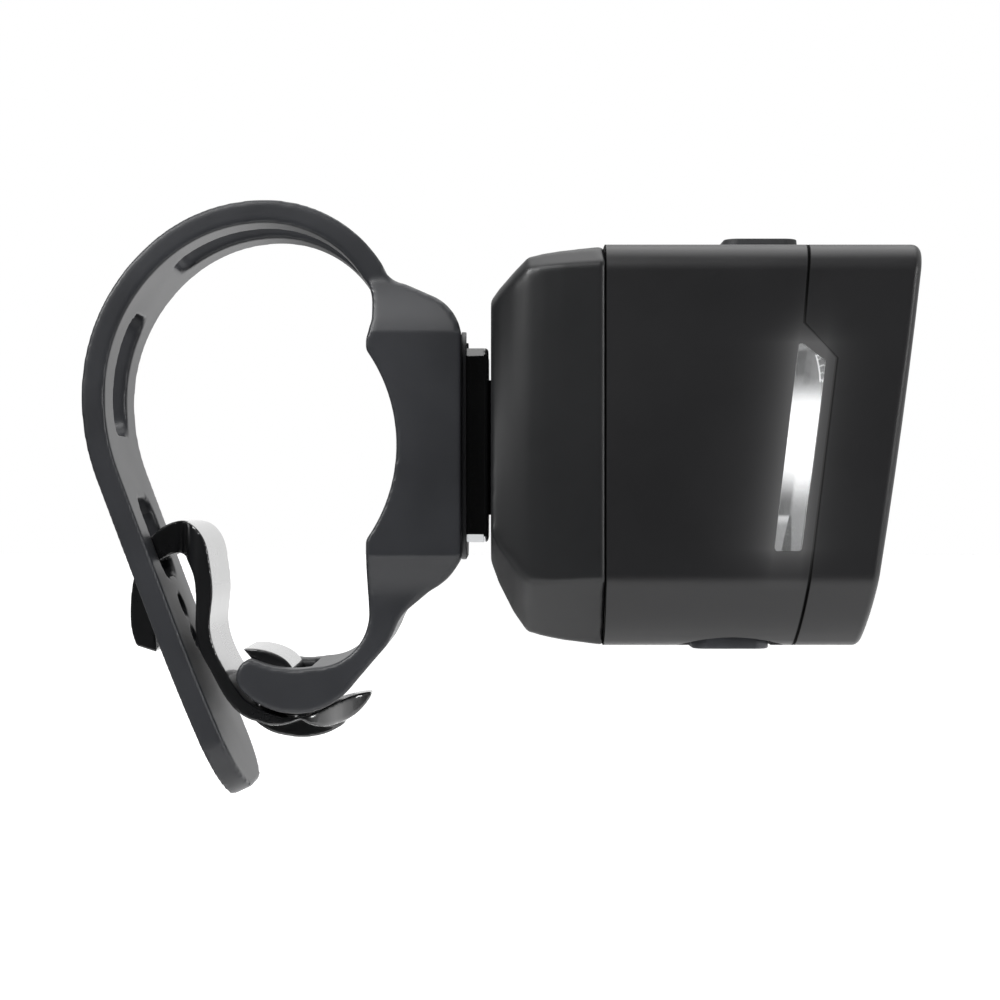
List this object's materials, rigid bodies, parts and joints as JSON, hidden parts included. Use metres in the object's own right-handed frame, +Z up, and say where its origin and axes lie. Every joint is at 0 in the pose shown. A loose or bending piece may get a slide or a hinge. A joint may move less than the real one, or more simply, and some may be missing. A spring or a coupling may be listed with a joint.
{
  "type": "bike headlight",
  "caption": "Compact battery bike headlight with side windows and a top button, docked on a slotted rubber handlebar strap that is closed by a pivoting hook.",
  "frame": {"origin": "on the handlebar's axis, halfway across the strap", "axes": "+X the way the light shines, +Z up, +Y along the handlebar to the light's left"},
  "size_m": [0.0883, 0.04, 0.0644],
  "materials": {
    "strap_rubber": "matte, fine grain, moulded",
    "hook_plastic": "gloss, moulded",
    "dock_plastic": "gloss, moulded",
    "plate_plastic": "satin, moulded",
    "shell_plastic": "fine grain, satin sheen",
    "front_shell_plastic": "fine grain, satin sheen",
    "button_rubber": "matte",
    "cover_rubber": "matte",
    "window_clear": "clear, smooth",
    "lens_clear": "clear, smooth",
    "optic_clear": "clear, polished",
    "screw_steel": "black oxide",
    "catch_steel": "bright spring steel",
    "gasket_rubber": "matte",
    "sink_metal": "brushed",
    "board_green": "solder mask",
    "board_white": "white mask",
    "emitter_yellow": "phosphor under a clear dome",
    "switch_black": "moulded",
    "port_metal": "plated",
    "cell_wrap": "laminate pouch",
    "foam_grey": "closed-cell foam",
    "lead_red": "insulated wire"
  },
  "bodies": {
    "mount": {"rubber_strap": "strap_rubber", "base_plate": "plate_plastic", "dock_receiver": "dock_plastic", "dock_screws": "screw_steel", "release_catch": "catch_steel"},
    "head": {"dock_foot": "plate_plastic", "foot_screws": "screw_steel", "rear_housing": "shell_plastic", "housing_screws": "screw_steel", "body_gasket": "gasket_rubber", "core_housing": "shell_plastic", "front_bezel": "front_shell_plastic", "front_lens": "lens_clear", "lens_gasket": "gasket_rubber", "side_window_left": "window_clear", "side_window_right": "window_clear", "button_switch": "switch_black", "control_board": "board_green", "usb_port": "port_metal", "heat_sink": "sink_metal", "led_board": "board_white", "led_emitters": "emitter_yellow", "beam_optic": "optic_clear", "side_boards": "board_white", "side_leds": "emitter_yellow", "battery_pack": "cell_wrap", "battery_foam": "foam_grey", "battery_leads": "lead_red"},
    "hook": {"strap_hook": "hook_plastic"},
    "button": {"power_button": "button_rubber"},
    "cover": {"port_cover": "cover_rubber"}
  },
  "joints": [
    {"name": "light_slide", "type": "slide", "parent": "mount", "child": "head", "axis": [0, 0, 1], "range_m": [0, 0.02], "deforming": ["release_catch"]},
    {"name": "button_press", "type": "slide", "parent": "head", "child": "button", "axis": [0, 0, -1], "range_m": [0, 0.0008], "stiffness_N_per_m": 900, "springref_m": -0.0004},
    {"name": "port_cover_hinge", "type": "hinge", "parent": "head", "child": "cover", "pos_m": [0.0528, 0.0114, -0.0209], "axis": [1, 0, 0], "range_deg": [0, 100]},
    {"name": "hook_pivot", "type": "hinge", "parent": "mount", "child": "hook", "pos_m": [0.00444, 0, -0.0262], "axis": [0, 1, 0], "range_deg": [-3, 1.5]}
  ]
}
